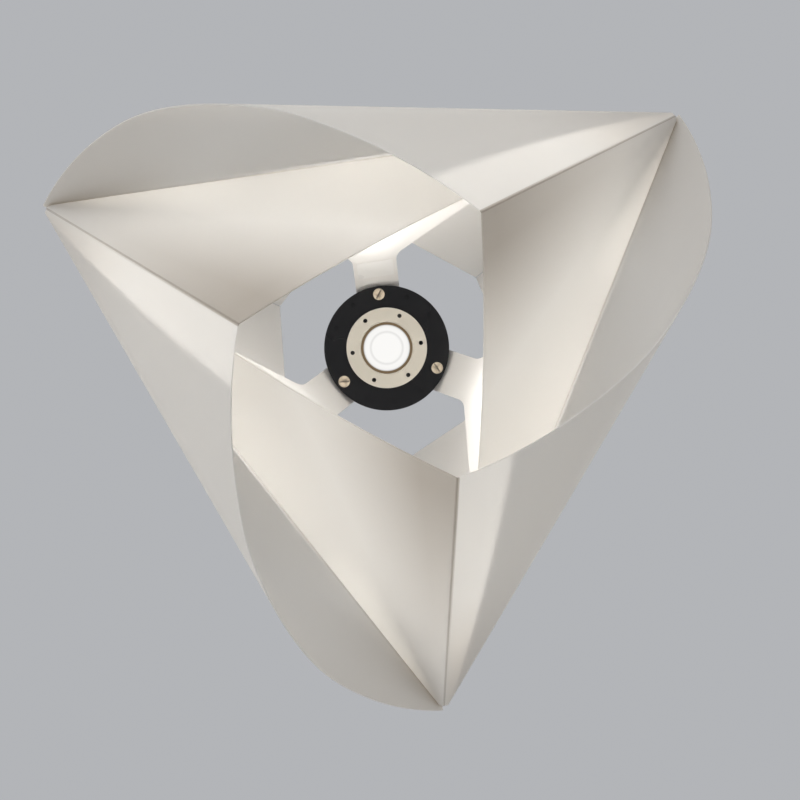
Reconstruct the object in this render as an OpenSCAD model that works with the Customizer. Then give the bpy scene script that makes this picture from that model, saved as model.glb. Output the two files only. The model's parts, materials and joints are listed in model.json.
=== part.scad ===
// Pendant light with a folded shade of three sheets, a round LED unit and a swivel hanger.
// The origin is the top of the threaded hanger, on the lamp's vertical axis. Z points up.

/* [Shade] */
// Radius from the lamp axis to each of the three shade tips
tip_r = 268; // [220:1:320]
// Radius of the lower end of each fold
fold_r = 100.4; // [85:0.1:115]
// Angle from a tip to the lower end of its fold
fold_turn = 16.4; // [12:0.1:20]
// Drop from the tips to the lower end of each fold
fold_drop = 125; // [100:1:150]
// Radius of the upper corners of the top opening
ridge_r = 91; // [80:1:100]
// Height of those corners above the tips
ridge_rise = 130; // [128:1:145]
// Height of the notch corners up the sloping panels, measured on the panel
notch_up = 55; // [48:1:62]
// Sideways shift of the notch corners along the panel
notch_shift = 11; // [4:1:16]
// Thickness of the sheet
sheet_t = 1; // [0.6:0.1:1.6]
// Half angle of the rounded outer edge, which is part of a cone
nose_half_angle = 8; // [6:0.5:10]
// Angle by which the flat panel runs on below the line between two tips
nose_start_angle = 10; // [8:0.5:13]
// Pull of the rim curve where it leaves the fold at a right angle
rim_fold_pull = 169; // [150:1:185]
// Pull of the rim curve where it reaches the next tip
rim_tip_pull = 170; // [150:1:190]
// Angle between the rim and the fold line at that tip, in the flat sheet
rim_tip_angle = 71.5; // [66:0.5:78]
// Hollow of the free edge of the inner flap
flap_hollow = 15; // [6:0.5:18]
// Length left off each sheet at its own tip
tip_blunt = 6; // [4:0.5:9]
// Length left off the inner flap where it runs out at the next tip
flap_end_gap = 12; // [8:1:20]
// Gap between sheets where they meet
sheet_gap = 0.3; // [0.2:0.05:0.6]
// Which way the folds turn, seen from above
swirl = -1; // [-1, 1]

/* [Spider] */
// Height of the top of the spider plate above the tips
plate_rise = 126; // [120:1:127]
// Thickness of the spider's sheet metal
spider_t = 2; // [1.5:0.1:3]
// Radius of the round middle of the spider plate
plate_r = 46; // [45:0.5:47]
// Radius of the hole in the middle of the plate
plate_hole_r = 33; // [31:0.5:35]
// Width of each arm
arm_w = 34; // [28:1:38]
// Radius of the fillets where an arm flares into its foot
flare_r = 14; // [8:1:18]
// Half width of the foot of each arm
foot_half_w = 98; // [85:1:110]
// Height of the lower edge of the foot up the panel
foot_low = 38; // [34:1:42]
// Height of the outer corners of the foot up the panel
foot_corner = 45; // [43:1:50]
// Height at which the foot's upper edge meets the arm
foot_top = 110; // [104:1:116]
// Sideways place of the rivets
rivet_u = 60; // [52:1:66]
// Height of the rivets up the panel
rivet_v = 56; // [52:1:60]
// Radius of a rivet's shank
rivet_r = 1.9; // [1.5:0.1:2.4]
// Radius of a rivet's outer head
rivet_head_r = 4; // [3.4:0.1:5]
// Height of a rivet's outer head
rivet_head_h = 1.6; // [1:0.1:2.4]
// Radius of a rivet's closed inner head
rivet_tail_r = 3.4; // [2.8:0.1:4]
// Height of a rivet's closed inner head
rivet_tail_h = 1.2; // [0.8:0.1:2]

/* [Cover disc] */
// Radius of the black cover disc
disc_r = 49; // [48:0.5:49.5]
// Thickness of the cover disc
disc_t = 3; // [2:0.2:4]
// Length of the spacers between the disc and the spider
spacer_h = 6; // [5.6:0.2:8]
// Wall of a spacer
spacer_wall = 1.1; // [0.8:0.1:1.2]
// Radius of the circle of cover screws and small holes
hole_circle_r = 42.5; // [40.5:0.1:42.8]
// Radius of the small blind holes in the disc
small_hole_r = 1.8; // [1.2:0.1:2.2]
// Thickness left above each of those holes
small_hole_floor = 0.8; // [0.4:0.1:1.2]
// Number of places round the hole circle
hole_places = 12; // [6:3:15]
// Radius of the shank of a cover screw
cover_screw_r = 2.4; // [2:0.1:2.6]
// Radius of the head of a cover screw
cover_head_r = 4.5; // [3.8:0.1:5]
// Height of the head of a cover screw
cover_head_h = 2.6; // [2:0.1:3.2]
// Height of the domed end of that head
cover_dome_h = 1.2; // [0.6:0.1:1.6]
// Depth to which the cover screws reach into the heat sink
cover_screw_grip = 4.5; // [3:0.1:5]
// Width of the slot in a cover screw
slot_w = 1.2; // [0.8:0.1:1.6]
// Depth of that slot
slot_d = 1.1; // [0.6:0.1:1.4]

/* [Bezel and optics] */
// Radius of the bezel ring
bezel_r = 31.5; // [31:0.1:34]
// Thickness of the bezel's flange
bezel_t = 3; // [2.4:0.1:4]
// Radius of the light opening in the bezel
aperture_r = 20.2; // [19.4:0.1:21]
// Width of the bevel round the light opening
aperture_bevel = 1; // [0.5:0.1:1.4]
// Outer radius of the bezel's sleeve
sleeve_r = 25; // [24.6:0.1:25.4]
// Wall of the bezel's sleeve
sleeve_t = 1.8; // [1.2:0.1:2.2]
// Number of spanner holes in the bezel
spanner_count = 6; // [3:3:6]
// Radius of the circle of spanner holes
spanner_circle_r = 27; // [26.6:0.1:28]
// Radius of a spanner hole
spanner_hole_r = 1.7; // [1.2:0.1:2]
// Radial reach of a bayonet lug
lug_reach = 2; // [1.4:0.1:2.2]
// Height of a bayonet lug
lug_h = 2; // [1.4:0.1:2.4]
// Half angle of a bayonet lug
lug_half_angle = 6; // [4:0.5:8]
// Free angle at each side of a lug in its groove
lug_side_gap = 1; // [0.5:0.5:2]
// Turn of the bezel from locked to free
bezel_turn = 25; // [20:1:35]
// Radius of the visible lens
lens_r = 18.4; // [17:0.1:18.8]
// Reach of the lens below its rim
lens_drop = 2; // [1:0.1:2.4]
// Thickness of the rim of the lens
lens_rim_t = 2; // [1.4:0.1:2.4]
// Radius of the upper mouth of the reflector
reflector_top_r = 10.5; // [9.6:0.1:11]
// Wall of the reflector
reflector_t = 0.8; // [0.6:0.1:1.2]

/* [LED and heat sink] */
// Radius of the LED board
board_r = 17; // [15:0.5:17.6]
// Thickness of the LED board
board_t = 1.5; // [1:0.1:2]
// Radius of the yellow light field on the board
emitter_r = 9; // [6:0.5:9.4]
// Height of the light field
emitter_h = 0.6; // [0.3:0.1:0.8]
// Thickness of the thermal pad
pad_t = 0.5; // [0.3:0.1:0.8]
// Outer radius of the LED holder
holder_r = 29; // [28.6:0.1:29.4]
// Thickness of the holder's web under the board
web_t = 1.5; // [1:0.1:2]
// Radius of the light hole in the web
web_hole_r = 13; // [12.4:0.1:14]
// Radius of the circle of holder screws
holder_screw_circle_r = 21.4; // [21:0.1:21.6]
// Radius of the shank of a holder screw
holder_screw_r = 1.4; // [1:0.1:1.6]
// Radius of the head of a holder screw
holder_head_r = 2.6; // [2.2:0.1:2.8]
// Height of the head of a holder screw
holder_head_h = 1.2; // [0.8:0.1:1.6]
// Depth of the holder screws in the heat sink
holder_screw_grip = 4; // [3:0.1:4.6]
// Radius of the heat sink
sink_r = 48; // [47:0.5:49]
// Thickness of the heat sink's base
sink_base_t = 6; // [5.5:0.5:8]
// Height of the fins above the base
fin_h = 28; // [20:1:31]
// Thickness of a fin
fin_t = 2; // [1.4:0.1:2.6]
// Distance from fin to fin
fin_pitch = 8; // [6:0.5:10]
// Number of fins
fin_count = 11; // [7:2:11]

/* [Driver housing] */
// Height from the heat sink's base to the housing
post_h = 34; // [32:1:40]
// Radius of a housing post
post_r = 4; // [3.4:0.1:4.6]
// Room round each post between the fins
post_room = 0.6; // [0.4:0.1:0.9]
// Radius of the stud under each post
stud_r = 2; // [1.6:0.1:2.4]
// Length of that stud in the heat sink
stud_len = 4; // [2:0.5:5]
// Radius of the circle of posts
post_circle_r = 34; // [33:0.5:35]
// Outer radius of the housing
housing_r = 46; // [45:0.5:48]
// Wall of the housing
housing_wall = 1.6; // [1.2:0.1:2]
// Thickness of the housing's floor
housing_floor = 2; // [1.4:0.1:3]
// Clear depth of the housing
housing_depth = 36; // [34:1:44]
// Thickness of the lid
lid_t = 2.5; // [2:0.1:3.5]
// Depth of the lid's locating rim
lid_rim_h = 4; // [2:0.5:6]
// Radius of the circle of lid screws
lid_screw_circle_r = 41; // [40.6:0.1:41.4]
// Radius of a lid screw boss
boss_r = 4; // [3.4:0.1:4.3]
// Radius of the shank of the housing screws
small_screw_r = 1.45; // [1.2:0.05:1.9]
// Radius of their heads
small_head_r = 2.8; // [2.4:0.1:3.2]
// Height of their heads
small_head_h = 1.8; // [1.2:0.1:2.4]
// Length of their shanks below the head
small_screw_len = 12; // [9:1:16]
// Length of the driver
driver_l = 52; // [44:1:54]
// Width of the driver
driver_w = 36; // [30:1:38]
// Height of the driver
driver_h = 18; // [12:1:22]
// Length of the terminal block
terminal_l = 18; // [14:1:19]
// Width of the terminal block
terminal_w = 11; // [9:1:11]
// Height of the terminal block
terminal_h = 14; // [10:1:18]
// Number of poles of the terminal block
terminal_poles = 3; // [2:1:4]
// Gap between the driver and the terminal block
terminal_gap = 2; // [1:0.5:3]
// Radius of an LED lead
lead_r = 0.8; // [0.5:0.1:1.1]
// Distance of each LED lead from the middle plane
lead_x = 2; // [1.4:0.1:2.6]
// Room round the LED leads in the holder's slot
lead_slot_room = 0.8; // [0.4:0.1:1.2]
// Distance of the lead hole from the lamp axis
lead_y = 22; // [21:0.5:23]
// Radius of the lead hole
lead_hole_r = 3.6; // [3.4:0.1:4]

/* [Hanger] */
// Radius of the hanger's thread, as a plain cylinder
thread_r = 5; // [4.6:0.1:6]
// Length of the thread
thread_len = 12; // [9:1:16]
// Radius of the stem that turns in the lid
stem_r = 7; // [6.6:0.1:8]
// Height of the stem's shoulder above its bush
shoulder_h = 3; // [2:0.5:6]
// Radius of the cable bore
cable_bore_r = 3.5; // [2.5:0.1:3.8]
// Radius of the stem's flange
flange_r = 13; // [12:0.5:13.2]
// Thickness of the stem's flange
flange_t = 3; // [2:0.5:4]
// Length of the stem below its flange
stem_tail = 2; // [1:0.5:3]
// Outer radius of the stop lug on the flange
stop_lug_r = 17; // [16:0.5:18]
// Half angle of the stop lug
stop_lug_half_angle = 12; // [8:1:16]
// Outer radius of the bush
bush_r = 10; // [9.4:0.1:11]
// Radius of the bush's flange
bush_flange_r = 12.8; // [12:0.1:13]
// Thickness of the bush's flange
bush_flange_t = 2; // [1.5:0.1:3]
// Height of the bush above the lid
bush_proud = 0.5; // [0.3:0.1:1.5]
// Thickness of the thrust washer
washer_t = 1; // [0.6:0.1:2]
// Radius of the stop pin
stop_pin_r = 1.5; // [1:0.1:1.6]
// Distance of the stop pin from the axis
stop_pin_circle_r = 15; // [14.8:0.1:15.2]
// Radius of the grommet's sleeve
grommet_r = 4.6; // [4.4:0.1:5.4]
// Length of the grommet's sleeve
grommet_h = 5; // [3:0.5:6]
// Thickness of the grommet's flange
grommet_flange_t = 1.5; // [1:0.1:2]
// Radius of the grommet's flange
grommet_flange_r = 6.4; // [5.8:0.1:6.6]
// Wall of the grommet
grommet_wall = 1.3; // [1:0.1:1.5]

/* [Clearances] */
// Clearance of parts that are fixed to each other
fit = 0.1; // [0.05:0.01:0.2]
// Radial running clearance of the stem in its bush
run_fit = 0.05; // [0.02:0.01:0.1]
// Gap between parts that move past each other
move_gap = 0.3; // [0.2:0.05:0.5]
// Gap under the sheets where they lie on the spider's feet
seat_gap = 0.1; // [0.05:0.05:0.3]

/* [Hidden] */
$fn = 96;
THIRD = 120;
over = 1;

// Heights, from the hanger down to the shade
z_bush_top = -thread_len - shoulder_h;
z_lid_top = z_bush_top - bush_proud;
z_lid_low = z_lid_top - lid_t;
z_bush_low = z_lid_low - bush_flange_t;
z_washer_top = z_bush_low - move_gap;
z_flange_top = z_washer_top - washer_t;
z_flange_low = z_flange_top - flange_t;
z_stem_low = z_flange_low - stem_tail;
z_floor_top = z_lid_low - housing_depth;
z_floor_low = z_floor_top - housing_floor;
z_base_top = z_floor_low - post_h;
z_base_low = z_base_top - sink_base_t;
z_plate_low = z_base_low - spider_t;
z_disc_top = z_plate_low - spacer_h;
z_disc_low = z_disc_top - disc_t;
z_bezel_top = z_disc_low - move_gap;
z_bezel_low = z_bezel_top - bezel_t;
z_board_top = z_base_low - pad_t;
z_board_low = z_board_top - board_t;
z_web_low = z_board_low - web_t;
z_lug_top = z_web_low - holder_head_h - move_gap;
z_holder_low = z_disc_low + move_gap;
z_lens_top = z_bezel_top + lens_rim_t;
z_tips = z_base_low - plate_rise;

// Radii that follow from their neighbours
sleeve_bore_r = sleeve_r - sleeve_t;
holder_bore_r = sleeve_r + fit;
bayonet_r = sleeve_r + lug_reach;
groove_r = bayonet_r + move_gap;
insert_r = sleeve_bore_r - move_gap;
housing_bore_r = housing_r - housing_wall;
lid_rim_r = housing_bore_r - fit;

// Points of one sheet, seen from its own tip, with the next tip a third of a turn on
function ring_point(r, a, z) = [r * cos(a), r * sin(a), z];
function unit(v) = v / norm(v);
tip_own = [tip_r, 0, 0];
tip_next = ring_point(tip_r, THIRD, 0);
tip_last = ring_point(tip_r, -THIRD, 0);
fold_end = ring_point(fold_r, fold_turn, -fold_drop);
ridge_own = [ridge_r, 0, ridge_rise];
ridge_next = ring_point(ridge_r, THIRD, ridge_rise);
side_len = norm(tip_next - tip_own);
fold_len = norm(fold_end - tip_own);

// Directions from the sheet's own tip
fold_dir = unit(fold_end - tip_own);
next_dir = unit(tip_next - tip_own);
last_dir = unit(tip_last - tip_own);
ridge_dir = unit(ridge_own - tip_own);
panel_n = unit(cross(next_dir, ridge_dir));
panel_up = cross(panel_n, next_dir);
flap_n = -unit(cross(fold_dir, last_dir));

// Rounded outer edge: a cone that touches the upper panel and the lower face
nose_low_edge = cos(nose_start_angle) * next_dir - sin(nose_start_angle) * panel_up;
nose_axis = cos(nose_half_angle) * nose_low_edge - sin(nose_half_angle) * panel_n;
side_x = unit(nose_axis - (nose_axis * fold_dir) * fold_dir);
side_y = cross(fold_dir, side_x);
lower_angle = acos(-sin(nose_half_angle) / (nose_axis * side_x));
lower_a = cos(lower_angle) * side_x + sin(lower_angle) * side_y;
lower_b = cos(lower_angle) * side_x - sin(lower_angle) * side_y;
lower_n = lower_a[2] < lower_b[2] ? lower_a : lower_b;
nose_up = unit(panel_n + sin(nose_half_angle) * nose_axis);
nose_down = unit(lower_n + sin(nose_half_angle) * nose_axis);
nose_side = cross(nose_axis, nose_up);
nose_turn = atan2(nose_down * nose_side, nose_down * nose_up);
lower_edge = cos(nose_half_angle) * nose_axis + sin(nose_half_angle) * nose_down;

// Angles in the flat sheet, counted from the fold
flat_lower = acos(fold_dir * lower_edge);
flat_nose = abs(nose_turn) * sin(nose_half_angle);
flat_total = flat_lower + flat_nose + nose_start_angle;

// Direction and outward normal of the sheet at an angle in the flat sheet
function slerp(a, b, whole, part) = (sin(whole - part) * a + sin(part) * b) / sin(whole);
function nose_m(turn) = cos(turn) * nose_up + sin(turn) * nose_side;
function nose_at(p) = nose_turn * (1 - (p - flat_lower) / flat_nose);
function sheet_dir(p) =
    p <= flat_lower ? slerp(fold_dir, lower_edge, flat_lower, p) :
    p <= flat_lower + flat_nose ?
        cos(nose_half_angle) * nose_axis + sin(nose_half_angle) * nose_m(nose_at(p)) :
    cos(flat_total - p) * next_dir - sin(flat_total - p) * panel_up;
function sheet_normal(p) =
    p <= flat_lower ? lower_n :
    p <= flat_lower + flat_nose ?
        cos(nose_half_angle) * nose_m(nose_at(p)) - sin(nose_half_angle) * nose_axis :
    panel_n;

// Edges are set back from the lines where sheets meet
seam_back = sheet_t / 2 + sheet_gap;
corner_angle = acos(ridge_dir * next_dir);
corner_back = seam_back / sin(corner_angle);
ridge_in = cross(ridge_dir, panel_n);
ridge_next_dir = unit(ridge_next - tip_next);
ridge_next_in = -cross(ridge_next_dir, panel_n);
flap_in = unit(fold_dir - (fold_dir * last_dir) * last_dir);
flap_back = sheet_t + sheet_gap;

// Rim of the outer face, as one cubic curve in the flat sheet
rim_steps = 60;
rim_start = [fold_len, 0];
rim_end = (side_len - corner_back) * [cos(flat_total), sin(flat_total)];
rim_start_pull = rim_start + rim_fold_pull * [0, 1];
rim_end_pull = rim_end + rim_tip_pull * [cos(rim_tip_angle), -sin(rim_tip_angle)];
function rim_flat(t) = pow(1 - t, 3) * rim_start + 3 * pow(1 - t, 2) * t * rim_start_pull
    + 3 * (1 - t) * pow(t, 2) * rim_end_pull + pow(t, 3) * rim_end;
function rim_angle(t) = min(flat_total, atan2(rim_flat(t)[1], rim_flat(t)[0]));
function rim_point(t) = tip_own + norm(rim_flat(t)) * sheet_dir(rim_angle(t));

// Free edge of the inner flap, from the far tip to the fold
flap_steps = 16;
flap_end = tip_own + (side_len - flap_end_gap) * last_dir + flap_back * flap_in;
flap_chord = flap_end - fold_end;
flap_side = unit((tip_own - fold_end) - ((tip_own - fold_end) * unit(flap_chord)) * unit(flap_chord));
function flap_point(f) = fold_end + f * flap_chord + 4 * flap_hollow * f * (1 - f) * flap_side;

// Middle surface of a sheet: starts near the tip, ends at the rim, then the upper panel's corners
flap_start = tip_own + tip_blunt * last_dir + flap_back * flap_in;
fold_start = tip_own + tip_blunt * fold_dir;
fold_miter = (flap_n + lower_n) / (1 + flap_n * lower_n);
ruling_count = flap_steps + rim_steps + 1;
starts = concat(
    [for (i = [0:flap_steps - 1]) flap_start + (i / flap_steps) * (fold_start - flap_start)],
    [for (j = [0:rim_steps]) tip_own + tip_blunt * sheet_dir(rim_angle(j / rim_steps))]);
ends = concat(
    [for (i = [0:flap_steps - 1]) flap_point(1 - i / flap_steps)],
    [for (j = [0:rim_steps]) rim_point(j / rim_steps)]);
normals = concat(
    [for (i = [0:flap_steps - 1]) flap_n],
    [fold_miter],
    [for (j = [1:rim_steps]) sheet_normal(rim_angle(j / rim_steps))]);
panel_mid = (tip_own + tip_next) / 2;
notch_point = panel_mid + notch_up * panel_up + notch_shift * next_dir;
corners = [ridge_next + seam_back * ridge_next_in, notch_point,
           ridge_own + seam_back * ridge_in,
           tip_own + tip_blunt * ridge_dir + seam_back * ridge_in];
mids = concat(starts, ends, corners);
mid_normals = concat(normals, normals, [for (c = corners) panel_n]);
mid_count = len(mids);
last_start = ruling_count - 1;
last_end = 2 * ruling_count - 1;
i_ridge_next = 2 * ruling_count;
i_notch = i_ridge_next + 1;
i_ridge_own = i_notch + 1;
i_ridge_start = i_ridge_own + 1;
skin = concat(
    [for (i = [0:ruling_count - 2]) [i, ruling_count + i, ruling_count + i + 1]],
    [for (i = [0:ruling_count - 2]) [i, ruling_count + i + 1, i + 1]],
    [[last_start, last_end, i_notch], [last_end, i_ridge_next, i_notch],
     [last_start, i_notch, i_ridge_start], [i_ridge_start, i_notch, i_ridge_own]]);
border = concat(
    [for (i = [0:ruling_count - 1]) ruling_count + i],
    [i_ridge_next, i_notch, i_ridge_own, i_ridge_start],
    [for (i = [0:ruling_count - 1]) last_start - i]);

// The sheet as a closed solid, with an outer skin, an inner skin and a wall round its border
function outer_point(i) = mids[i] + sheet_t / 2 * mid_normals[i];
function inner_point(i) = mids[i] - sheet_t / 2 * mid_normals[i];
sheet_points = concat(
    [for (i = [0:mid_count - 1]) outer_point(i)],
    [for (i = [0:mid_count - 1]) inner_point(i)]);
function next_in(list, i) = list[(i + 1) % len(list)];
sheet_faces = concat(
    [for (t = skin) t],
    [for (t = skin) [t[2] + mid_count, t[1] + mid_count, t[0] + mid_count]],
    [for (i = [0:len(border) - 1]) [next_in(border, i), border[i], border[i] + mid_count]],
    [for (i = [0:len(border) - 1])
        [next_in(border, i), border[i] + mid_count, next_in(border, i) + mid_count]]);

// Sloping panel: its frame has X along the side, Y up the slope and Z out of the shade
panel_out = tip_r * cos(THIRD / 2);
panel_slope = atan2(ridge_rise, panel_out - ridge_r * cos(THIRD / 2));
foot_top_w = -sheet_t / 2 - seat_gap;
foot_low_w = foot_top_w - spider_t;
module on_panel(k) {
    rotate([0, 0, THIRD / 2 + THIRD * k]) translate([panel_out, 0, z_tips])
        rotate([0, panel_slope, 0]) rotate([0, 0, 90]) children();
}
module at_rivets() {
    for (k = [0:2]) on_panel(k) for (side = [-1, 1]) translate([side * rivet_u, rivet_v, 0]) children();
}
module at_arms(r) {
    for (k = [0:2]) rotate([0, 0, THIRD / 2 + THIRD * k]) translate([r, 0, 0]) children();
}
module at_tips(r) {
    for (k = [0:2]) rotate([0, 0, THIRD * k]) translate([r, 0, 0]) children();
}
module rod(r, z_low, z_high) {
    translate([0, 0, z_low]) cylinder(r = r, h = z_high - z_low);
}
module tube(r_out, r_in, z_low, z_high) {
    difference() {
        rod(r_out, z_low, z_high);
        rod(r_in, z_low - over, z_high + over);
    }
}
module wedge(r, half_angle, z_low, z_high) {
    translate([0, 0, z_low]) linear_extrude(z_high - z_low)
        polygon([[0, 0], r * [cos(half_angle), -sin(half_angle)] / cos(half_angle),
                 r * [cos(half_angle), sin(half_angle)] / cos(half_angle)]);
}

// Folded shade sheets
module shade_sheet(k) {
    color([0.93, 0.92, 0.89]) difference() {
        rotate([0, 0, swirl * THIRD * k]) mirror([0, swirl < 0 ? 1 : 0, 0]) translate([0, 0, z_tips])
            polyhedron(points = sheet_points, faces = sheet_faces, convexity = 8);
        at_rivets() cylinder(r = rivet_r + fit, h = 4 * over, center = true);
    }
}
module shade_sheet_one() {
    shade_sheet(0);
}
module shade_sheet_two() {
    shade_sheet(1);
}
module shade_sheet_three() {
    shade_sheet(2);
}

// Spider: a flat plate and three bent arms whose feet follow the slope of the panels
foot_edge_slope = atan2(foot_top - foot_corner, foot_half_w - arm_w / 2);
flare_turn = 90 - foot_edge_slope;
flare_tangent = flare_r * tan(flare_turn / 2);
flare_centre = [arm_w / 2 + flare_r, foot_top + flare_tangent];
function flare_point(side, a) =
    [side * (flare_centre[0] - flare_r * cos(a)), flare_centre[1] - flare_r * sin(a)];
flare_steps = 8;
arm_reach = 2 * plate_rise;
function arm_side(side) = concat(
    [[side * foot_half_w, foot_low], [side * foot_half_w, foot_corner]],
    [for (i = [flare_steps:-1:0]) flare_point(side, flare_turn * i / flare_steps)],
    [[side * arm_w / 2, arm_reach]]);
function reversed(list) = [for (i = [len(list) - 1:-1:0]) list[i]];
arm_outline = concat(arm_side(1), reversed(arm_side(-1)));
arm_start = sqrt(pow(plate_hole_r - over, 2) - pow(arm_w / 2, 2));
function at_height(w, z) = [panel_out - z / tan(panel_slope) + w / sin(panel_slope), z];
bent_profile = [[arm_start, plate_rise - spider_t], at_height(foot_low_w, plate_rise - spider_t),
                at_height(foot_low_w, 0), at_height(foot_top_w, 0),
                at_height(foot_top_w, plate_rise), [arm_start, plate_rise]];
module spider_arm(k) {
    intersection() {
        rotate([0, 0, THIRD / 2 + THIRD * k]) translate([0, 0, z_tips]) rotate([90, 0, 0])
            linear_extrude(2 * foot_half_w + 2 * over, center = true) polygon(bent_profile);
        on_panel(k) translate([0, 0, -panel_out / 2]) linear_extrude(panel_out) polygon(arm_outline);
    }
}
module spider() {
    color([0.93, 0.92, 0.88]) difference() {
        union() {
            rod(plate_r, z_plate_low, z_base_low);
            for (k = [0:2]) spider_arm(k);
        }
        rod(plate_hole_r, z_plate_low - over, z_base_low + over);
        at_arms(hole_circle_r) rod(cover_screw_r + fit, z_plate_low - over, z_base_low + over);
        at_rivets() translate([0, 0, foot_low_w - over]) cylinder(r = rivet_r + fit, h = spider_t + 2 * over);
    }
}
module shade_rivets() {
    color([0.86, 0.86, 0.84]) at_rivets() {
        translate([0, 0, sheet_t / 2]) cylinder(r = rivet_head_r, h = rivet_head_h);
        translate([0, 0, foot_low_w]) cylinder(r = rivet_r, h = sheet_t / 2 - foot_low_w + rivet_head_h / 2);
        translate([0, 0, foot_low_w - rivet_tail_h]) cylinder(r = rivet_tail_r, h = rivet_tail_h);
    }
}

// Cover disc, its screws and its spacers
module cover_disc() {
    color([0.03, 0.03, 0.03]) difference() {
        rod(disc_r, z_disc_low, z_disc_top);
        rod(holder_r + move_gap, z_disc_low - over, z_disc_top + over);
        for (i = [0:hole_places - 1])
            rotate([0, 0, THIRD / 2 + 360 / hole_places * i]) translate([hole_circle_r, 0, 0])
                if (i % (hole_places / 3) == 0)
                    rod(cover_screw_r + fit, z_disc_low - over, z_disc_top + over);
                else
                    rod(small_hole_r, z_disc_low - over, z_disc_top - small_hole_floor);
    }
}
slot_turn = 35;
cover_dome_r = (pow(cover_head_r, 2) + pow(cover_dome_h, 2)) / (2 * cover_dome_h);
module cover_screws() {
    color([0.78, 0.72, 0.6]) at_arms(hole_circle_r) difference() {
        union() {
            rod(cover_screw_r, z_disc_low, z_base_low + cover_screw_grip);
            intersection() {
                rod(cover_head_r, z_disc_low - cover_head_h, z_disc_low);
                translate([0, 0, z_disc_low - cover_head_h + cover_dome_r]) sphere(r = cover_dome_r);
            }
        }
        rotate([0, 0, slot_turn])
            translate([-cover_head_r - over, -slot_w / 2, z_disc_low - cover_head_h - over])
                cube([2 * (cover_head_r + over), slot_w, slot_d + over]);
    }
}
module cover_spacers() {
    bore_r = cover_screw_r + fit;
    color([0.75, 0.75, 0.73]) at_arms(hole_circle_r)
        tube(bore_r + spacer_wall, bore_r, z_disc_top, z_plate_low);
}

// Bezel ring with its bayonet sleeve, the lens and the reflector
module bezel_ring() {
    color([0.9, 0.87, 0.78]) difference() {
        union() {
            rod(bezel_r, z_bezel_low, z_bezel_top);
            rod(sleeve_r, z_bezel_top, z_lug_top);
            intersection() {
                rod(bayonet_r, z_lug_top - lug_h, z_lug_top);
                at_tips(0) wedge(bayonet_r + over, lug_half_angle, z_lug_top - lug_h, z_lug_top);
            }
        }
        rod(aperture_r, z_bezel_low - over, z_bezel_top + over);
        rod(sleeve_bore_r, z_bezel_top, z_lug_top + over);
        translate([0, 0, z_bezel_low])
            cylinder(r1 = aperture_r + aperture_bevel, r2 = aperture_r, h = aperture_bevel);
        for (i = [0:spanner_count - 1])
            rotate([0, 0, 360 / spanner_count * (i + 0.5)]) translate([spanner_circle_r, 0, 0])
                rod(spanner_hole_r, z_bezel_low - over, z_bezel_top + over);
    }
}
module lens() {
    color([0.97, 0.97, 0.95]) {
        rod(insert_r, z_bezel_top, z_lens_top);
        rod(lens_r, z_bezel_top - lens_drop, z_lens_top);
    }
}
module reflector_cup() {
    lip_z = z_lens_top + reflector_t;
    color([0.85, 0.85, 0.86]) rotate_extrude()
        polygon([[aperture_r, z_lens_top], [insert_r, z_lens_top], [insert_r, lip_z],
                 [aperture_r + reflector_t, lip_z], [reflector_top_r + reflector_t, z_web_low],
                 [reflector_top_r, z_web_low]]);
}

// LED board, its pad, its holder and the holder's screws
module led_board() {
    color([0.85, 0.8, 0.5]) {
        rod(board_r, z_board_low, z_board_top);
        rod(emitter_r, z_board_low - emitter_h, z_board_low);
    }
}
module thermal_pad() {
    color([0.5, 0.55, 0.6]) rod(board_r, z_board_top, z_base_low);
}
module bayonet_track() {
    rotate([0, 0, bezel_turn / 2])
        wedge(holder_r, bezel_turn / 2 + lug_half_angle + lug_side_gap,
              z_lug_top - lug_h - move_gap, z_lug_top + over);
    rotate([0, 0, bezel_turn])
        wedge(holder_r, lug_half_angle + lug_side_gap / 2, z_holder_low - over, z_lug_top);
}
lead_slot_w = 2 * (lead_x + lead_r + lead_slot_room);
module led_holder() {
    color([0.08, 0.08, 0.08]) difference() {
        rod(holder_r, z_holder_low, z_base_low);
        rod(holder_bore_r, z_holder_low - over, z_web_low);
        rod(web_hole_r, z_web_low - over, z_board_low + over);
        rod(board_r + fit, z_board_low, z_base_low + over);
        intersection() {
            rod(groove_r, z_holder_low - 2 * over, z_lug_top + move_gap);
            at_tips(0) bayonet_track();
        }
        at_arms(holder_screw_circle_r) rod(holder_screw_r + fit, z_web_low - over, z_base_low + over);
        translate([-lead_slot_w / 2, -lead_y - lead_r - lead_slot_room, z_web_low - over])
            cube([lead_slot_w, lead_y, z_base_low - z_web_low + 2 * over]);
    }
}
module holder_screws() {
    color([0.7, 0.7, 0.7]) at_arms(holder_screw_circle_r) {
        rod(holder_screw_r, z_web_low, z_base_low + holder_screw_grip);
        rod(holder_head_r, z_web_low - holder_head_h, z_web_low);
    }
}

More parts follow.
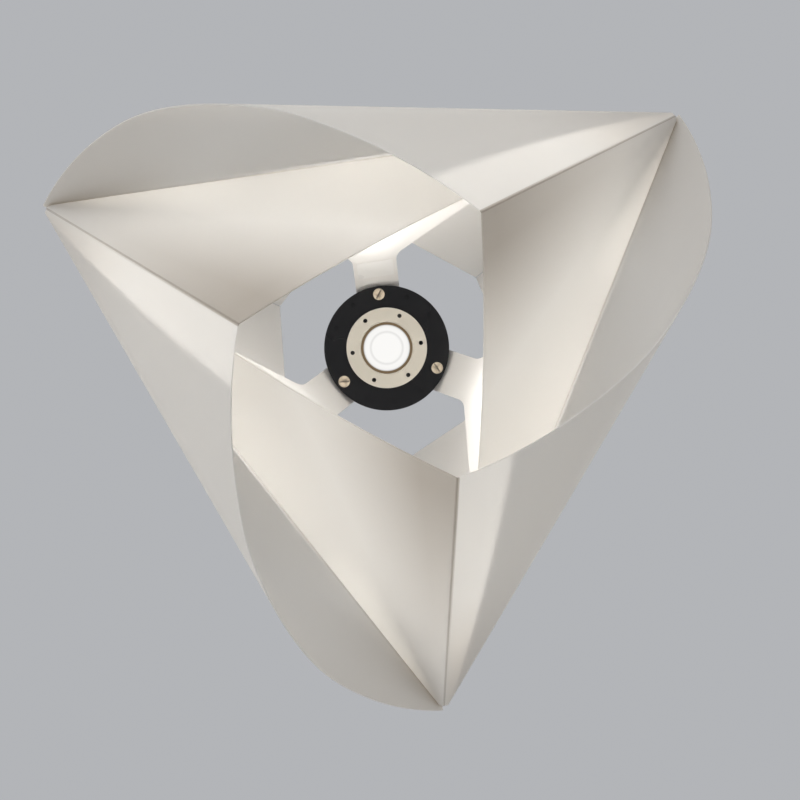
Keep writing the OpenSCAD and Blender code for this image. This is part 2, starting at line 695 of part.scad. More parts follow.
// Heat sink with parallel fins
module heat_sink() {
    color([0.12, 0.12, 0.13]) difference() {
        union() {
            rod(sink_r, z_base_low, z_base_top);
            intersection() {
                rod(sink_r, z_base_top - over, z_base_top + fin_h);
                for (i = [0:fin_count - 1])
                    translate([(i - (fin_count - 1) / 2) * fin_pitch - fin_t / 2, -sink_r, z_base_top - over])
                        cube([fin_t, 2 * sink_r, fin_h + over]);
            }
        }
        at_arms(post_circle_r) {
            rod(post_r + post_room, z_base_top, z_base_top + fin_h + over);
            rod(stud_r + fit, z_base_top - stud_len - fit, z_base_top + over);
        }
        at_arms(hole_circle_r)
            rod(cover_screw_r + fit, z_base_low - over, z_base_low + cover_screw_grip + fit);
        at_arms(holder_screw_circle_r)
            rod(holder_screw_r + fit, z_base_low - over, z_base_low + holder_screw_grip + fit);
        translate([0, -lead_y, 0]) rod(lead_hole_r, z_base_low - over, z_base_top + fin_h + over);
    }
}

// Driver housing on three posts
module housing_posts() {
    color([0.75, 0.75, 0.76]) at_arms(post_circle_r)
        difference() {
            union() {
                rod(post_r, z_base_top, z_floor_low);
                rod(stud_r, z_base_top - stud_len, z_base_top);
            }
            rod(small_screw_r + fit, z_floor_top - small_screw_len - fit, z_floor_low + over);
        }
}
module housing_cup() {
    color([0.12, 0.12, 0.13]) difference() {
        rod(housing_r, z_floor_low, z_lid_low);
        difference() {
            rod(housing_bore_r, z_floor_top, z_lid_low + over);
            at_tips(lid_screw_circle_r) rod(boss_r, z_floor_top - over, z_lid_low + 2 * over);
        }
        at_tips(lid_screw_circle_r)
            rod(small_screw_r + fit, z_lid_top - small_screw_len - fit, z_lid_low + over);
        at_arms(post_circle_r) rod(small_screw_r + fit, z_floor_low - over, z_floor_top + over);
        translate([0, -lead_y, 0]) rod(lead_hole_r, z_floor_low - over, z_floor_top + over);
    }
}
z_rim_low = z_lid_low - lid_rim_h;
module housing_lid() {
    color([0.12, 0.12, 0.13]) difference() {
        union() {
            rod(housing_r, z_lid_low, z_lid_top);
            difference() {
                tube(lid_rim_r, lid_rim_r - housing_wall, z_rim_low, z_lid_low + lid_t / 2);
                at_tips(lid_screw_circle_r) rod(boss_r + fit, z_rim_low - over, z_lid_top);
            }
        }
        rod(bush_r + fit, z_lid_low - over, z_lid_top + over);
        at_tips(lid_screw_circle_r) rod(small_screw_r + fit, z_lid_low - over, z_lid_top + over);
        rotate([0, 0, 180]) translate([stop_pin_circle_r, 0, 0])
            rod(stop_pin_r + fit, z_lid_low - over, z_lid_top + over);
    }
}
module housing_screw(z_seat) {
    rod(small_screw_r, z_seat - small_screw_len, z_seat);
    rod(small_head_r, z_seat, z_seat + small_head_h);
}
module housing_screws() {
    color([0.7, 0.7, 0.7]) {
        at_arms(post_circle_r) housing_screw(z_floor_top);
        at_tips(lid_screw_circle_r) housing_screw(z_lid_top);
    }
}

// Driver, terminal block and the leads to the LED
module driver() {
    color([0.92, 0.92, 0.9]) translate([-driver_l / 2, -driver_w / 2, z_floor_top])
        cube([driver_l, driver_w, driver_h]);
}
terminal_y = driver_w / 2 + terminal_gap + terminal_w / 2;
terminal_hole_r = terminal_l / terminal_poles / 4;
module terminal_block() {
    color([0.9, 0.9, 0.85]) difference() {
        translate([-terminal_l / 2, terminal_y - terminal_w / 2, z_floor_top])
            cube([terminal_l, terminal_w, terminal_h]);
        for (i = [0:terminal_poles - 1])
            translate([(i - (terminal_poles - 1) / 2) * terminal_l / terminal_poles, terminal_y,
                       z_floor_top + terminal_h - terminal_w / 2])
                cylinder(r = terminal_hole_r, h = terminal_w);
    }
}
lead_top_z = z_floor_top + driver_h / 2;
lead_low_z = z_board_low - lead_r - fit;
module led_leads() {
    color([0.75, 0.15, 0.12]) for (side = [-1, 1]) translate([side * lead_x, 0, 0]) {
        translate([0, -lead_y, 0]) rod(lead_r, lead_low_z, lead_top_z);
        translate([0, -lead_y, lead_top_z]) sphere(r = lead_r);
        translate([0, -lead_y, lead_low_z]) sphere(r = lead_r);
        translate([0, -lead_y, lead_top_z]) rotate([-90, 0, 0])
            cylinder(r = lead_r, h = lead_y - driver_w / 2);
        translate([0, -lead_y, lead_low_z]) rotate([-90, 0, 0])
            cylinder(r = lead_r, h = lead_y - board_r + 2 * lead_r);
    }
}

// Swivel hanger
module swivel_bush() {
    color([0.8, 0.65, 0.35]) difference() {
        union() {
            rod(bush_r, z_lid_low, z_bush_top);
            rod(bush_flange_r, z_bush_low, z_lid_low);
        }
        rod(stem_r + run_fit, z_bush_low - over, z_bush_top + over);
    }
}
module thrust_washer() {
    color([0.9, 0.9, 0.88]) tube(bush_flange_r, stem_r + fit, z_flange_top, z_washer_top);
}
grommet_bore_r = grommet_r - grommet_wall;
module swivel_stem() {
    color([0.75, 0.75, 0.76]) difference() {
        union() {
            rod(thread_r, -thread_len, 0);
            rod(stem_r, z_stem_low, -thread_len);
            rod(flange_r, z_flange_low, z_flange_top);
            intersection() {
                rod(stop_lug_r, z_flange_low, z_flange_top);
                wedge(stop_lug_r + over, stop_lug_half_angle, z_flange_low, z_flange_top);
            }
        }
        rod(cable_bore_r, z_stem_low - over, over);
        rod(grommet_r + fit, z_stem_low - over, z_stem_low + grommet_h);
    }
}
module stop_pin() {
    color([0.6, 0.6, 0.62]) rotate([0, 0, 180]) translate([stop_pin_circle_r, 0, 0])
        rod(stop_pin_r, z_flange_low + move_gap, z_lid_top);
}
module inlet_grommet() {
    color([0.05, 0.05, 0.05]) difference() {
        union() {
            rod(grommet_r, z_stem_low, z_stem_low + grommet_h - fit);
            rod(grommet_flange_r, z_stem_low - grommet_flange_t, z_stem_low);
        }
        rod(grommet_bore_r, z_stem_low - grommet_flange_t - over, z_stem_low + grommet_h + over);
    }
}

shade_sheet_one();
shade_sheet_two();
shade_sheet_three();
spider();
shade_rivets();
cover_disc();
cover_screws();
cover_spacers();
bezel_ring();
lens();
reflector_cup();
led_board();
led_holder();
holder_screws();
thermal_pad();
heat_sink();
housing_posts();
housing_cup();
housing_lid();
housing_screws();
driver();
terminal_block();
led_leads();
swivel_bush();
thrust_washer();
swivel_stem();
stop_pin();
inlet_grommet();
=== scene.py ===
import json
import math

import bpy
from mathutils import Matrix, Vector


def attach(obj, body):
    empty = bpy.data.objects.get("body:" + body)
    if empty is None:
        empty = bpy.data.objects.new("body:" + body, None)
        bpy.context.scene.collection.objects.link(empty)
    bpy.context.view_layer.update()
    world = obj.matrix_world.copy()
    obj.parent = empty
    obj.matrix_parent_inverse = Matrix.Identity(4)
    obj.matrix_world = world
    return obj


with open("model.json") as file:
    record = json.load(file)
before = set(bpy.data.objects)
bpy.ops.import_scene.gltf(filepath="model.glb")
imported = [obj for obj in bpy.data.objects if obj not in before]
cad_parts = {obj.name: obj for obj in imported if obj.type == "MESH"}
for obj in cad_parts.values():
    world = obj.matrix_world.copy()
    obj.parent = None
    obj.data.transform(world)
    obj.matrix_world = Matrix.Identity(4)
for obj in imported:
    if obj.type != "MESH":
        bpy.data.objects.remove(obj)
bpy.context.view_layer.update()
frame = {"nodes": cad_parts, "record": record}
scene = bpy.context.scene
scene.view_settings.view_transform = "Standard"

# Sizes shared with the CAD, in metres and degrees
MM = 0.001
THIRD = 120
TIP_R = 268 * MM
TIP_Z = -222 * MM
FOLD_R = 100.4 * MM
FOLD_TURN = 16.4
FOLD_DROP = 125 * MM
RIDGE_R = 91 * MM
RIDGE_RISE = 130 * MM
SPIDER_FACE = -2.6 * MM
LENS_R = 18.4 * MM
THREAD_LOW = -12 * MM
THREAD_PITCH = 1 * MM
PANEL_OUT = TIP_R * math.cos(math.radians(THIRD / 2))
RIDGE_OUT = RIDGE_R * math.cos(math.radians(THIRD / 2))
PANEL_SLOPE = math.degrees(math.atan2(RIDGE_RISE, PANEL_OUT - RIDGE_OUT))

# Camera, as fitted to the photograph: it looks almost straight up from below
CAMERA_DROP = 1300 * MM
CAMERA_SHIFT = (-7.717 * MM, 40.547 * MM)
CAMERA_TILT = (0.0234, -0.0020)
CAMERA_ROLL = 38.402
CAMERA_NEAR = 50 * MM
FOCAL_PX = 1805
IMAGE_PX = 800
SENSOR_MM = 36

# Surroundings
PALE = (0.45, 0.46, 0.48)
FLOOR_Z = -2.4
FLOOR_HALF = 4
SKY_COLOR = (0.99, 0.98, 0.965)
SKY_STRENGTH = 0.82

# Studio lamps, which all point at the middle of the tips: name, place, size and power
STUDIO_LAMPS = (
    ("top_light", (0.8, -1.39, -0.9), 1.2, 5),
    ("left_light", (-1.6, 0, -0.9), 1.2, 7),
    ("low_light", (0.3, -1.3, -1.5), 1.4, 8),
)

# Lamp in front of the lens. Its profile gives the share of its strength at each angle from straight down.
# Its light falls with the distance and not with its square, and at LED_EVEN an ordinary lamp's is the same.
LED_POWER = 4.8
LED_COLOR = (1, 0.975, 0.94)
LED_PROFILE = (
    (0, 0.58), (30, 0.64), (46, 0.88), (56, 0.96),
    (62, 0.60), (68, 0.28), (76, 0.04), (90, 0.0),
)
LED_EVEN = 220 * MM
LED_RADIUS = 17 * MM
LED_Z = -113 * MM

# Variation that every finish has
SLOW_SCALE = 9
SLOW_RANGE = (0.3, 0.7)
FINE_DETAIL = 2
ROUGH_SPREAD = 0.12
GRAIN_STRENGTH = 0.25
GRAIN_DEPTH = 0.03 * MM
SHELTER_SAMPLES = 8

# Sheets of the shade: color of the surface, color of the light that comes through, and share that does
SHEET_TONE = (0.84, 0.83, 0.81)
SHEET_GLOW = (0.95, 0.94, 0.915)
SHEET_THROUGH = 0.48
SHEET_SPREAD = 0.015
SHEET_SLOW_SCALE = 6
SHEET_ROUGH = (0.48, 0.56)
SHEET_GRAIN = 1400
SHEET_GRAIN_STRENGTH = 0.15
SHEET_GRAIN_DEPTH = 0.02 * MM
FLAP_FACE = (1.0 * MM, 1.6 * MM)

# Shade of a flap beside its fold, by the angle at the tip and the distance along the fold
SHADE_ANGLES = (8, 31)
SHADE_REACH = (40 * MM, 200 * MM)
SHADE_TONE = (0.55, 0.51, 0.46)
SHADE_GLOW = (0.64, 0.61, 0.57)

# Painted light: a brighter strip of a flap along its upper edge, which also lets more light through, by the
# angle at the tip and the distance from it
LIT_STRIP_ANGLES = (32, 51)
LIT_STRIP_REACH = (45 * MM, 150 * MM)
LIT_STRIP_TONE = (0.95, 0.94, 0.925)
LIT_STRIP_THROUGH = 0.86

# Painted shade in the pocket behind each flap, by the distance from the middle of the lamp and by how
# closed in it is
POCKET_SHADE_RADII = (185 * MM, 262 * MM)
POCKET_SHADE_SHELTER = (90 * MM, 0.05, 0.65)
POCKET_SHADE_TONE = (0.21, 0.15, 0.09)
POCKET_SHADE_GLOW = (0.79, 0.70, 0.57)

# Painted dark line of shade on the fold, and painted shade where a sheet meets another piece
FOLD_LINE_SHADE_WIDTHS = (0.60 * MM, 0.85 * MM)
FOLD_LINE_SHADE_STRENGTH = 0.35
FOLD_LINE_SHADE_TONE = (0.20, 0.15, 0.11)
FOLD_LINE_SHADE_GLOW = (0.30, 0.24, 0.18)
CONTACT_SHADE_SHELTER = (3 * MM, 0.25, 0.80)
CONTACT_SHADE_TONE = (0.36, 0.31, 0.26)

# Lens: its brightness from the middle to the rim, a painted shade on the rim itself, and the glass over the
# glow
LENS_TONES = ((0.0, 1.0), (0.60, 1.0), (0.68, 0.82), (0.76, 0.99), (0.92, 0.95), (0.97, 0.66))
LENS_TINT = (1, 0.995, 0.98)
LENS_RIM_SHADE = (0.995, (0.17, 0.12, 0.07))
GLASS_COLOR = (0.34, 0.26, 0.16)
GLASS_ROUGH = 0.35
GLASS_SHARE = 0.06

# Painted shade in the slot of a cover screw, and depth of the thread's ridges
SLOT_SHADE_SHELTER = (1.2 * MM, 0.45, 0.90)
SLOT_SHADE_TONE = (0.10, 0.07, 0.05)
THREAD_DEPTH = 0.6 * MM
WAVE_RADIANS = 20

# Bare label on one arm
LABEL_AZIMUTH = -60
LABEL_UP = 125 * MM
LABEL_W = 28 * MM
LABEL_H = 19 * MM
LABEL_T = 0.2 * MM
LABEL_CORNER = 1 * MM
CORNER_STEPS = 6


def is_socket(value):
    """True for an output of a node, False for a plain value."""
    return isinstance(value, bpy.types.NodeSocket)


def rgba(color):
    """A socket as it is, or a plain color with its fourth value."""
    return color if is_socket(color) else (*color, 1)


class Graph:
    """The nodes of one material, lamp or world. Whatever goes into a node is a socket or a plain value."""

    def __init__(self, owner, fresh=True):
        owner.use_nodes = True
        self.nodes = owner.node_tree.nodes
        self.links = owner.node_tree.links
        if fresh:
            self.nodes.clear()

    def put(self, value, entry):
        """Puts value into one input of a node."""
        if is_socket(value):
            self.links.new(value, entry)
        else:
            entry.default_value = value

    def add(self, kind, inputs=None, **settings):
        """A new node with its settings and inputs."""
        node = self.nodes.new("ShaderNode" + kind)
        for name, value in settings.items():
            setattr(node, name, value)
        for name, value in (inputs or {}).items():
            self.put(value, node.inputs[name])
        return node

    def number(self, operation, first, second=0.0):
        """One operation on numbers."""
        return self.add("Math", {0: first, 1: second}, operation=operation).outputs["Value"]

    def product(self, *values):
        """All the values multiplied."""
        result = values[0]
        for value in values[1:]:
            result = self.number("MULTIPLY", result, value)
        return result

    def vector(self, operation, first, second):
        """One operation on vectors that gives a vector."""
        return self.add("VectorMath", {0: first, 1: second}, operation=operation).outputs["Vector"]

    def measure(self, operation, first, second=(0, 0, 0)):
        """One operation on vectors that gives a number."""
        return self.add("VectorMath", {0: first, 1: second}, operation=operation).outputs["Value"]

    def mapped(self, value, start, end, low, high):
        """From low to high as value goes from start to end, and no further."""
        inputs = {"Value": value, "From Min": start, "From Max": end, "To Min": low, "To Max": high}
        return self.add("MapRange", inputs).outputs["Result"]

    def mixed(self, share, first, second):
        """A color that goes from the first to the second as share goes from 0 to 1."""
        inputs = {"Factor": share, "A": rgba(first), "B": rgba(second)}
        return self.add("Mix", inputs, data_type="RGBA").outputs["Result"]

    def varied(self, value, color, spread):
        """color, made darker and lighter by spread as value changes."""
        darker = [tone * (1 - spread) for tone in color]
        lighter = [min(1, tone * (1 + spread)) for tone in color]
        return self.mixed(value, darker, lighter)

    def ramp(self, value, stops):
        """A color that goes through the stops, each a place and a color, as value goes from 0 to 1."""
        node = self.add("ValToRGB", {"Fac": value})
        elements = node.color_ramp.elements
        elements[0].position = stops[0][0]
        elements[1].position = stops[-1][0]
        for place, _ in stops[1:-1]:
            elements.new(place)
        for element, (_, color) in zip(elements, stops):
            element.color = rgba(color)
        return node.outputs["Color"]

    def place(self):
        """Where a point is, in its piece's own coordinates, which are the row frame's at rest."""
        return self.add("TexCoord").outputs["Object"]

    def radius(self):
        """How far a point is from the vertical through the middle of the lamp."""
        return self.measure("LENGTH", self.vector("MULTIPLY", self.place(), (1, 1, 0)))

    def noise(self, scale, detail=4, stretch=(1, 1, 1)):
        """A noise texture, stretched along each axis."""
        place = self.add("Mapping", {"Vector": self.place(), "Scale": stretch}).outputs["Vector"]
        return self.add("TexNoise", {"Vector": place, "Scale": scale, "Detail": detail}).outputs["Fac"]

    def shelter(self, reach, dark, bright):
        """From 0 in a sheltered corner to 1 in the open, between the open shares dark and bright."""
        node = self.add("AmbientOcclusion", {"Distance": reach}, samples=SHELTER_SAMPLES)
        return self.mapped(node.outputs["AO"], dark, bright, 0, 1)

    def bump(self, height, strength, distance):
        """The direction of a surface with this relief."""
        inputs = {"Height": height, "Strength": strength, "Distance": distance}
        return self.add("Bump", inputs).outputs["Normal"]

    def blend(self, share, first, second):
        """A shader that goes from the first to the second as share goes from 0 to 1."""
        return self.add("MixShader", {0: share, 1: first, 2: second}).outputs["Shader"]

    def principled(self):
        """The one principled shader of a finish."""
        return next(node for node in self.nodes if node.type == "BSDF_PRINCIPLED")

    def finish(self, shader, kind="OutputMaterial"):
        """Sends the shader to the output."""
        self.add(kind, {"Surface": shader})


def surface(name, color, rough, metal=0.0, spread=0.04, grain=900, shine=0.5, stretch=(1, 1, 1)):
    """A finish with slow changes of tone, small changes of roughness and a fine grain."""
    material = bpy.data.materials.new(name)
    graph = Graph(material)
    slow = graph.noise(SLOW_SCALE, stretch=stretch)
    fine = graph.noise(grain, FINE_DETAIL, stretch)
    shader = graph.add("BsdfPrincipled", {
        "Base Color": graph.varied(slow, color, spread),
        "Roughness": graph.mapped(
            slow, *SLOW_RANGE, rough * (1 - ROUGH_SPREAD), rough * (1 + ROUGH_SPREAD)),
        "Normal": graph.bump(fine, GRAIN_STRENGTH, GRAIN_DEPTH),
        "Metallic": metal,
        "Specular IOR Level": shine,
    })
    graph.finish(shader.outputs["BSDF"])
    return material


def around(radius, azimuth, height):
    """The place at this radius, azimuth in degrees and height."""
    turn = math.radians(azimuth)
    return Vector((radius * math.cos(turn), radius * math.sin(turn), height))


def own_place(graph, index):
    """Where a point is on sheet one, mirrored so that the flap's fold lies at a positive azimuth."""
    turn = (0, 0, math.radians(-THIRD * index))
    inputs = {"Vector": graph.place(), "Rotation": turn, "Scale": (1, -1, 1)}
    return graph.add("Mapping", inputs).outputs["Vector"]


def sheet_shares(graph, index):
    """How far each painted tone of a sheet applies: painted shade beside the fold, painted light along the
    upper edge, painted shade in the pocket and a painted dark line on the fold.
    """
    tip = around(TIP_R, 0, TIP_Z)
    fold = (around(FOLD_R, FOLD_TURN, TIP_Z - FOLD_DROP) - tip).normalized()
    upper_edge = (around(TIP_R, -THIRD, TIP_Z) - tip).normalized()
    from_tip = graph.vector("SUBTRACT", own_place(graph, index), tip)
    along = graph.measure("DOT_PRODUCT", from_tip, fold)
    away = graph.measure("LENGTH", graph.vector("CROSS_PRODUCT", from_tip, fold))
    turn = graph.number("ARCTAN2", away, along)
    off_plane = graph.measure("DOT_PRODUCT", from_tip, fold.cross(upper_edge).normalized())
    on_flap = graph.mapped(graph.number("ABSOLUTE", off_plane), *FLAP_FACE, 1, 0)
    shade = graph.product(
        on_flap,
        graph.mapped(turn, *map(math.radians, SHADE_ANGLES), 1, 0),
        graph.mapped(along, *SHADE_REACH, 0, 1))
    # Painted light: a brighter strip along the flap's upper edge
    rim = graph.product(
        on_flap,
        graph.mapped(turn, *map(math.radians, LIT_STRIP_ANGLES), 0, 1),
        graph.mapped(graph.measure("LENGTH", from_tip), *LIT_STRIP_REACH, 1, 0))
    # Painted shade in the pocket behind the flap, darker where it is closed in
    pocket = graph.product(
        graph.number("SUBTRACT", 1, on_flap),
        graph.mapped(graph.radius(), *POCKET_SHADE_RADII, 0, 1),
        graph.number("SUBTRACT", 1, graph.shelter(*POCKET_SHADE_SHELTER)))
    # Painted dark line of shade along the fold
    line = graph.mapped(away, *FOLD_LINE_SHADE_WIDTHS, FOLD_LINE_SHADE_STRENGTH, 0)
    return shade, rim, pocket, line


def sheet_material(index):
    """Matt white sheet that lets some of the light through."""
    material = bpy.data.materials.new(f"sheet_finish_{index + 1}")
    graph = Graph(material)
    slow = graph.noise(SHEET_SLOW_SCALE)
    fine = graph.noise(SHEET_GRAIN, FINE_DETAIL)
    shade, rim, pocket, line = sheet_shares(graph, index)
    tone = graph.varied(slow, SHEET_TONE, SHEET_SPREAD)
    # Painted shade where a sheet meets another piece, from ambient occlusion
    tone = graph.mixed(graph.shelter(*CONTACT_SHADE_SHELTER), CONTACT_SHADE_TONE, tone)
    # Painted shade beside the fold, painted light in the strip along the upper edge, painted shade in the
    # pocket and a painted dark line on the fold
    for share, color in ((shade, SHADE_TONE), (rim, LIT_STRIP_TONE), (pocket, POCKET_SHADE_TONE), (line, FOLD_LINE_SHADE_TONE)):
        tone = graph.mixed(share, tone, color)
    # The same painted shade dims the light that comes through
    glow = SHEET_GLOW
    for share, color in ((shade, SHADE_GLOW), (pocket, POCKET_SHADE_GLOW), (line, FOLD_LINE_SHADE_GLOW)):
        glow = graph.mixed(share, glow, color)
    front = graph.add("BsdfPrincipled", {
        "Base Color": tone,
        "Roughness": graph.mapped(slow, *SLOW_RANGE, *SHEET_ROUGH),
        "Normal": graph.bump(fine, SHEET_GRAIN_STRENGTH, SHEET_GRAIN_DEPTH),
    })
    through = graph.add("BsdfTranslucent", {"Color": glow})
    # Painted light: more light comes through in the strip along the upper edge
    share = graph.mapped(rim, 0, 1, SHEET_THROUGH, LIT_STRIP_THROUGH)
    graph.finish(graph.blend(share, front.outputs["BSDF"], through.outputs["BSDF"]))
    return material


def lens_material():
    """Frosted lens that glows white, a little less towards its rim, with one faint ring and a painted shade
    at the very rim.
    """
    material = bpy.data.materials.new("lens_glow")
    graph = Graph(material)
    stops = [(place, [tone * tint for tint in LENS_TINT]) for place, tone in LENS_TONES]
    # Painted shade at the very rim of the lens, in the gap round it
    stops.append(LENS_RIM_SHADE)
    share = graph.number("DIVIDE", graph.radius(), LENS_R)
    glow = graph.add("Emission", {"Color": graph.ramp(share, stops)})
    glass = graph.add("BsdfPrincipled", {"Base Color": rgba(GLASS_COLOR), "Roughness": GLASS_ROUGH})
    graph.finish(graph.blend(GLASS_SHARE, glow.outputs["Emission"], glass.outputs["BSDF"]))
    return material


def stem_material():
    """Plated steel, with the thread's ridges above the shoulder."""
    material = surface("stem_finish", (0.70, 0.68, 0.64), 0.3, metal=1.0, stretch=(1, 1, 6))
    graph = Graph(material, fresh=False)
    place = graph.place()
    height = graph.add("SeparateXYZ", {"Vector": place}).outputs["Z"]
    scale = 2 * math.pi / (WAVE_RADIANS * THREAD_PITCH)
    wave = graph.add("TexWave", {"Vector": place, "Scale": scale}, bands_direction="Z")
    ridges = graph.product(graph.number("GREATER_THAN", height, THREAD_LOW), wave.outputs["Fac"])
    graph.put(graph.bump(ridges, 1.0, THREAD_DEPTH), graph.principled().inputs["Normal"])
    return material


def screw_material():
    """Warm plated steel, with painted shade in the slot."""
    material = surface("cover_screw_finish", (0.56, 0.49, 0.39), 0.24, metal=1.0)
    graph = Graph(material, fresh=False)
    color = graph.principled().inputs["Base Color"]
    tone = color.links[0].from_socket
    # Painted shade in the slot, from ambient occlusion
    graph.put(graph.mixed(graph.shelter(*SLOT_SHADE_SHELTER), SLOT_SHADE_TONE, tone), color)
    return material


# A finish for each material slot, and for the nodes that have their own
finishes = {
    "white_steel": surface("white_paint", (0.81, 0.80, 0.785), 0.42, spread=0.02),
    "bare_aluminium": surface("bare_aluminium", (0.72, 0.72, 0.73), 0.34, metal=1.0, stretch=(1, 8, 1)),
    "black_gloss": surface(
        "black_gloss", (0.008, 0.008, 0.009), 0.16, spread=0.2, grain=300, shine=0.3),
    "screw_steel": surface("screw_plate", (0.74, 0.68, 0.58), 0.27, metal=1.0),
    "cream_metal": surface("cream_paint", (0.64, 0.61, 0.54), 0.42, spread=0.03),
    "board": surface("board_finish", (0.78, 0.66, 0.26), 0.5),
    "black_plastic": surface("black_plastic", (0.02, 0.02, 0.02), 0.5),
    "white_plastic": surface("white_plastic", (0.80, 0.80, 0.77), 0.5),
    "grey_rubber": surface("grey_pad", (0.42, 0.46, 0.52), 0.8),
    "black_aluminium": surface("black_anodised", (0.03, 0.03, 0.033), 0.4, metal=0.3, spread=0.1),
    "red_rubber": surface("red_wire", (0.5, 0.05, 0.04), 0.45),
    "brass": surface("brass_finish", (0.78, 0.60, 0.28), 0.28, metal=1.0),
    "black_rubber": surface("black_rubber", (0.02, 0.02, 0.021), 0.7),
    "lens_glass": lens_material(),
}
own_finishes = {
    "shade_sheet_one": sheet_material(0),
    "shade_sheet_two": sheet_material(1),
    "shade_sheet_three": sheet_material(2),
    "cover_screws": screw_material(),
    "swivel_stem": stem_material(),
}
for part in frame["record"]["subparts"]:
    node_name = part["node"]
    for slot in frame["nodes"][node_name].material_slots:
        slot.material = own_finishes.get(node_name) or finishes[part["material_slot"]]


def mesh_object(name, points, faces, material):
    """A mesh of these points and faces, in the scene."""
    mesh = bpy.data.meshes.new(name)
    mesh.from_pydata(points, [], faces)
    mesh.materials.append(material)
    piece = bpy.data.objects.new(name, mesh)
    scene.collection.objects.link(piece)
    return piece


def panel_matrix(azimuth):
    """Frame of a sloping panel: X along the side, Y up the slope, Z out of the shade."""
    turn = Matrix.Rotation(math.radians(azimuth), 4, "Z")
    out = Matrix.Translation((PANEL_OUT, 0, TIP_Z))
    slope = Matrix.Rotation(math.radians(PANEL_SLOPE), 4, "Y")
    return turn @ out @ slope @ Matrix.Rotation(math.radians(90), 4, "Z")


def rounded_outline(width, height, corner):
    """Outline of a rectangle with rounded corners, as pairs round its middle."""
    outline = []
    for sign_x, sign_y, start in ((1, 1, 0), (-1, 1, 90), (-1, -1, 180), (1, -1, 270)):
        for step in range(CORNER_STEPS + 1):
            angle = math.radians(start + 90 * step / CORNER_STEPS)
            outline.append((sign_x * (width / 2 - corner) + corner * math.cos(angle),
                            sign_y * (height / 2 - corner) + corner * math.sin(angle)))
    return outline


def rating_label():
    """A bare label with rounded corners, stuck to the inner face of one arm."""
    outline = rounded_outline(LABEL_W, LABEL_H, LABEL_CORNER)
    count = len(outline)
    place = panel_matrix(LABEL_AZIMUTH)
    points = [place @ Vector((x, LABEL_UP + y, level))
              for level in (SPIDER_FACE, SPIDER_FACE - LABEL_T) for x, y in outline]
    faces = [list(range(count)), [count + i for i in reversed(range(count))]]
    faces += [[i, (i + 1) % count, count + (i + 1) % count, count + i] for i in range(count)]
    finish = surface("label_finish", (0.84, 0.84, 0.83), 0.3, spread=0.015, grain=500)
    piece = mesh_object("rating_label", points, faces, finish)
    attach(piece, "lamp")


def pale_floor():
    """Plain floor below the camera."""
    signs = ((-1, -1), (1, -1), (1, 1), (-1, 1))
    corners = [(x * FLOOR_HALF, y * FLOOR_HALF, FLOOR_Z) for x, y in signs]
    finish = surface("floor_finish", PALE, 0.8, spread=0.01)
    floor = mesh_object("floor", corners, [(0, 1, 2, 3)], finish)


def studio_world():
    """Soft light from all around, with a plain pale surround for every ray that looks past the object."""
    world = bpy.data.worlds.new("studio")
    graph = Graph(world)
    ray = graph.add("LightPath").outputs
    seen = graph.number("MAXIMUM", ray["Is Camera Ray"], ray["Is Glossy Ray"])
    seen = graph.number("MAXIMUM", seen, ray["Is Transmission Ray"])
    lit = graph.add("Background", {"Color": rgba(SKY_COLOR), "Strength": SKY_STRENGTH})
    shown = graph.add("Background", {"Color": rgba(PALE), "Strength": 1})
    blend = graph.blend(seen, lit.outputs["Background"], shown.outputs["Background"])
    graph.finish(blend, "OutputWorld")
    scene.world = world


def lamp_object(name, data, place):
    """A lamp in the scene that the camera doesn't see."""
    lamp = bpy.data.objects.new(name, data)
    lamp.location = place
    lamp.visible_camera = False
    scene.collection.objects.link(lamp)
    return lamp


def studio_lamp(name, place, size, power):
    """A square soft lamp that points at the middle of the tips."""
    data = bpy.data.lights.new(name, "AREA")
    data.size = size
    data.energy = power
    aim = Vector((0, 0, TIP_Z)) - Vector(place)
    lamp_object(name, data, place).rotation_euler = aim.to_track_quat("-Z", "Y").to_euler()


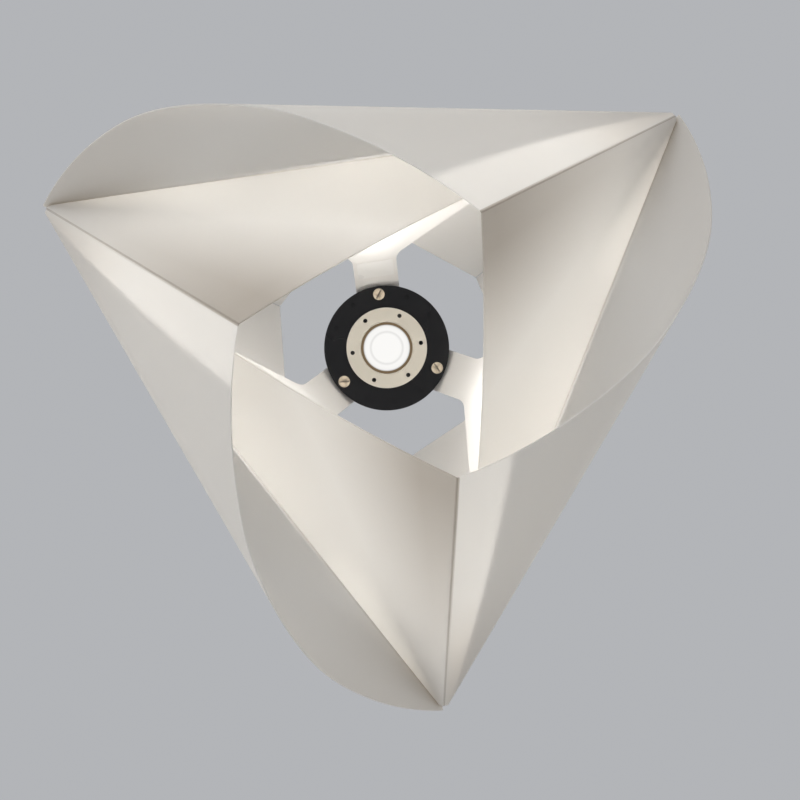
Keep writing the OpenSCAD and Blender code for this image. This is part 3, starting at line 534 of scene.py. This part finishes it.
def led_lamp():
    """Light of the lens: a small round lamp whose strength depends on the angle from straight down."""
    data = bpy.data.lights.new("led_light", "POINT")
    data.energy = LED_POWER
    data.color = LED_COLOR
    data.shadow_soft_size = LED_RADIUS
    graph = Graph(data)
    ray = graph.add("TexCoord").outputs["Normal"]
    height = graph.add("SeparateXYZ", {"Vector": ray}).outputs["Z"]
    stops = sorted((math.cos(math.radians(angle)), [share] * 3) for angle, share in LED_PROFILE)
    profile = graph.ramp(graph.product(height, -1), stops)
    falloff = graph.add("LightFalloff", {"Strength": 1 / LED_EVEN}).outputs["Linear"]
    emission = graph.add("Emission", {"Strength": graph.product(profile, falloff)})
    graph.finish(emission.outputs["Emission"], "OutputLight")
    lamp_object("led_light", data, (0, 0, LED_Z))


def camera_from_fit():
    """Camera matrix in the row frame, from the fit's own frame, where x is right, y up and z away."""
    shift_x, shift_y = CAMERA_SHIFT
    tilt_x, tilt_y = CAMERA_TILT
    unroll = Matrix.Rotation(math.radians(-CAMERA_ROLL), 3, "Z")
    mirror = Matrix.Diagonal((1, -1, 1))
    to_row = mirror @ unroll
    solve = Matrix(((1, 0, -tilt_x), (0, 1, -tilt_y), (tilt_x, tilt_y, 1)))
    eye = to_row @ (solve.inverted() @ Vector((-shift_x, -shift_y, -CAMERA_DROP)))
    eye.z += TIP_Z
    away = (to_row @ Vector((tilt_x, tilt_y, 1))).normalized()
    up = to_row @ Vector((0, 1, -tilt_y))
    up = (up - up.dot(away) * away).normalized()
    right = away.cross(up)
    columns = Matrix((right, up, -away)).transposed()
    return Matrix.Translation(eye) @ columns.to_4x4()


def photo_camera():
    """The camera at the photograph's viewing angle."""
    data = bpy.data.cameras.new("camera")
    data.sensor_width = SENSOR_MM
    data.lens = FOCAL_PX / IMAGE_PX * SENSOR_MM
    data.clip_start = CAMERA_NEAR
    camera = bpy.data.objects.new("camera", data)
    camera.matrix_world = camera_from_fit()
    scene.collection.objects.link(camera)
    scene.camera = camera


rating_label()
pale_floor()
studio_world()
for lamp_name, lamp_place, lamp_size, lamp_power in STUDIO_LAMPS:
    studio_lamp(lamp_name, lamp_place, lamp_size, lamp_power)
led_lamp()
photo_camera()
